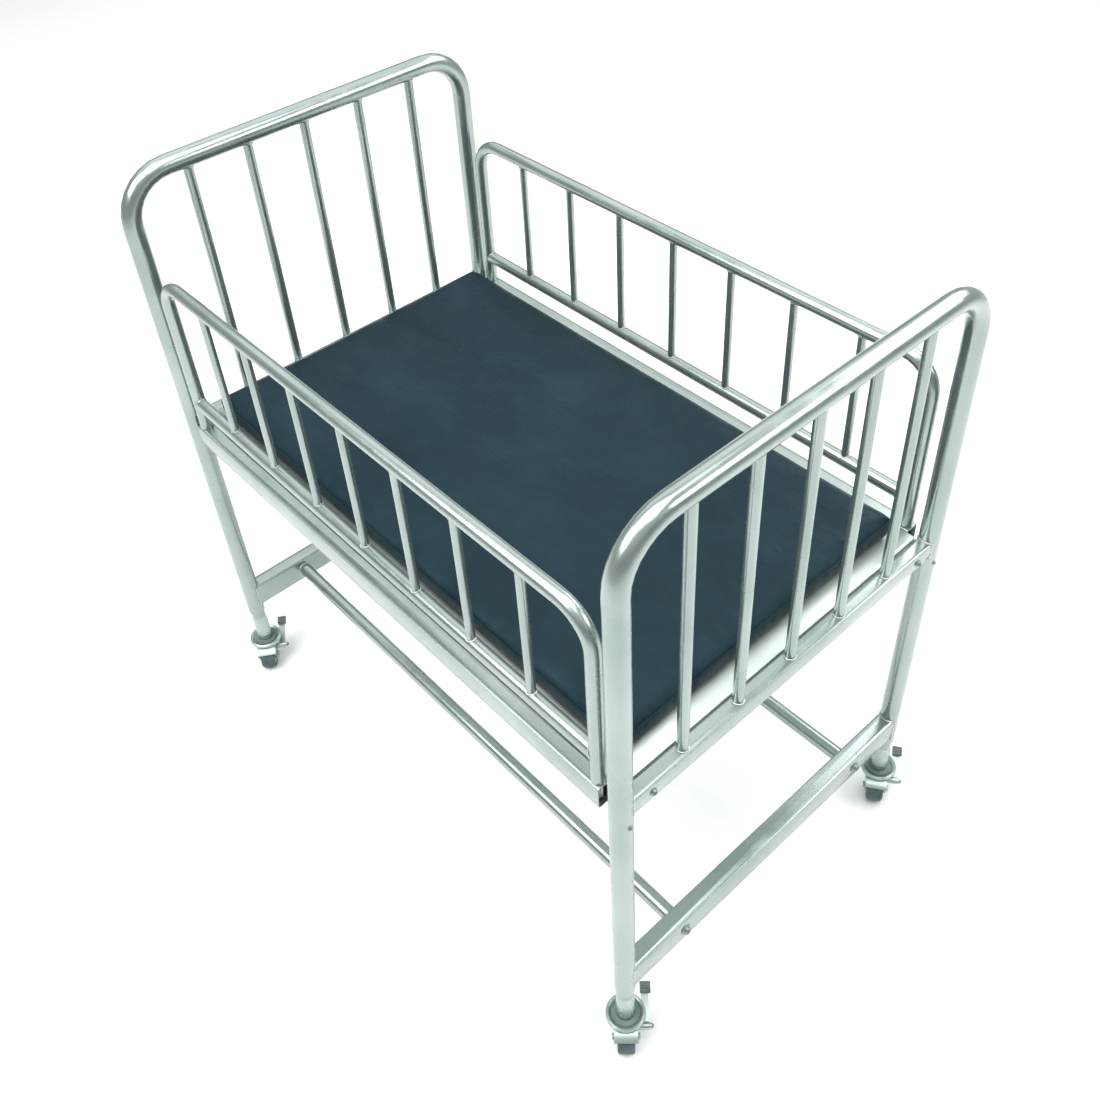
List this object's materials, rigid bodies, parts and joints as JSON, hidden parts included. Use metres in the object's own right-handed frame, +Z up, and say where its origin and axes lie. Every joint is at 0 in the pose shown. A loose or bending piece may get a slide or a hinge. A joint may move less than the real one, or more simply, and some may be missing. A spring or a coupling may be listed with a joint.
{
  "type": "pediatric hospital cot",
  "caption": "Stainless tube hospital cot for a small child, with arched barred ends, lift-out barred side rails, a thin dark mattress and braked swivel casters.",
  "frame": {"origin": "on the floor, at the middle of the overall box of the cot as it stands with its casters turned as pictured", "axes": "+X toward the foot end along the bed, +Y toward the right side rail, +Z up"},
  "size_m": [1.122, 0.7414, 1.1027],
  "materials": {
    "polished_steel": "polished",
    "plated_steel": "polished",
    "mattress_vinyl": "satin",
    "collar_plastic": "satin",
    "wheel_rubber": "matte"
  },
  "bodies": {
    "frame": {"head_arch": "polished_steel", "head_mid_rail": "polished_steel", "head_cross_bar": "polished_steel", "head_bar_1": "polished_steel", "head_bar_2": "polished_steel", "head_bar_3": "polished_steel", "head_bar_4": "polished_steel", "head_bar_5": "polished_steel", "foot_arch": "polished_steel", "foot_mid_rail": "polished_steel", "foot_cross_bar": "polished_steel", "foot_bar_1": "polished_steel", "foot_bar_2": "polished_steel", "foot_bar_3": "polished_steel", "foot_bar_4": "polished_steel", "foot_bar_5": "polished_steel", "left_side_tube": "polished_steel", "left_stretcher": "polished_steel", "right_side_tube": "polished_steel", "right_stretcher": "polished_steel", "bed_panel": "polished_steel", "mattress": "mattress_vinyl", "foot_left_caster_stem": "collar_plastic", "foot_right_caster_stem": "collar_plastic", "head_left_caster_stem": "collar_plastic", "head_right_caster_stem": "collar_plastic"},
    "left_rail": {"left_rail_hoop": "polished_steel", "left_rail_bottom_tube": "polished_steel", "left_rail_bar_1": "polished_steel", "left_rail_bar_2": "polished_steel", "left_rail_bar_3": "polished_steel", "left_rail_bar_4": "polished_steel", "left_rail_bar_5": "polished_steel", "left_rail_bar_6": "polished_steel", "left_rail_bar_7": "polished_steel"},
    "right_rail": {"right_rail_hoop": "polished_steel", "right_rail_bottom_tube": "polished_steel", "right_rail_bar_1": "polished_steel", "right_rail_bar_2": "polished_steel", "right_rail_bar_3": "polished_steel", "right_rail_bar_4": "polished_steel", "right_rail_bar_5": "polished_steel", "right_rail_bar_6": "polished_steel", "right_rail_bar_7": "polished_steel"},
    "foot_left_fork": {"foot_left_caster_fork": "plated_steel", "foot_left_caster_axle": "plated_steel"},
    "foot_left_wheel": {"foot_left_caster_wheel": "wheel_rubber"},
    "foot_left_lever": {"foot_left_caster_brake_lever": "plated_steel"},
    "foot_right_fork": {"foot_right_caster_fork": "plated_steel", "foot_right_caster_axle": "plated_steel"},
    "foot_right_wheel": {"foot_right_caster_wheel": "wheel_rubber"},
    "foot_right_lever": {"foot_right_caster_brake_lever": "plated_steel"},
    "head_left_fork": {"head_left_caster_fork": "plated_steel", "head_left_caster_axle": "plated_steel"},
    "head_left_wheel": {"head_left_caster_wheel": "wheel_rubber"},
    "head_left_lever": {"head_left_caster_brake_lever": "plated_steel"},
    "head_right_fork": {"head_right_caster_fork": "plated_steel", "head_right_caster_axle": "plated_steel"},
    "head_right_wheel": {"head_right_caster_wheel": "wheel_rubber"},
    "head_right_lever": {"head_right_caster_brake_lever": "plated_steel"}
  },
  "joints": [
    {"name": "left_rail_lift", "type": "slide", "parent": "frame", "child": "left_rail", "axis": [0, 0, 1], "range_m": [0, 0.51]},
    {"name": "right_rail_lift", "type": "slide", "parent": "frame", "child": "right_rail", "axis": [0, 0, 1], "range_m": [0, 0.51]},
    {"name": "foot_left_swivel", "type": "hinge", "parent": "frame", "child": "foot_left_fork", "pos_m": [0.51824, -0.32909, 0.06], "axis": [0, 0, 1], "continuous": true},
    {"name": "foot_left_roll", "type": "hinge", "parent": "foot_left_fork", "child": "foot_left_wheel", "pos_m": [0.53433, -0.34409, 0.025], "axis": [0.682, 0.7314, 0], "continuous": true},
    {"name": "foot_left_brake", "type": "hinge", "parent": "foot_left_fork", "child": "foot_left_lever", "pos_m": [0.52702, -0.33727, 0.038], "axis": [-0.682, -0.7314, 0], "range_deg": [0, 12]},
    {"name": "foot_right_swivel", "type": "hinge", "parent": "frame", "child": "foot_right_fork", "pos_m": [0.51824, 0.30891, 0.06], "axis": [0, 0, 1], "continuous": true},
    {"name": "foot_right_roll", "type": "hinge", "parent": "foot_right_fork", "child": "foot_right_wheel", "pos_m": [0.53022, 0.29046, 0.025], "axis": [0.8387, 0.5446, 0], "continuous": true},
    {"name": "foot_right_brake", "type": "hinge", "parent": "foot_right_fork", "child": "foot_right_lever", "pos_m": [0.52478, 0.29885, 0.038], "axis": [-0.8387, -0.5446, 0], "range_deg": [0, 12]},
    {"name": "head_left_swivel", "type": "hinge", "parent": "frame", "child": "head_left_fork", "pos_m": [-0.52976, -0.32909, 0.06], "axis": [0, 0, 1], "continuous": true},
    {"name": "head_left_roll", "type": "hinge", "parent": "head_left_fork", "child": "head_left_wheel", "pos_m": [-0.51131, -0.34107, 0.025], "axis": [0.5446, 0.8387, 0], "continuous": true},
    {"name": "head_left_brake", "type": "hinge", "parent": "head_left_fork", "child": "head_left_lever", "pos_m": [-0.51969, -0.33563, 0.038], "axis": [-0.5446, -0.8387, 0], "range_deg": [0, 12]},
    {"name": "head_right_swivel", "type": "hinge", "parent": "frame", "child": "head_right_fork", "pos_m": [-0.52976, 0.30891, 0.06], "axis": [0, 0, 1], "continuous": true},
    {"name": "head_right_roll", "type": "hinge", "parent": "head_right_fork", "child": "head_right_wheel", "pos_m": [-0.51562, 0.29206, 0.025], "axis": [0.766, 0.6428, 0], "continuous": true},
    {"name": "head_right_brake", "type": "hinge", "parent": "head_right_fork", "child": "head_right_lever", "pos_m": [-0.52204, 0.29972, 0.038], "axis": [-0.766, -0.6428, 0], "range_deg": [0, 12]}
  ]
}
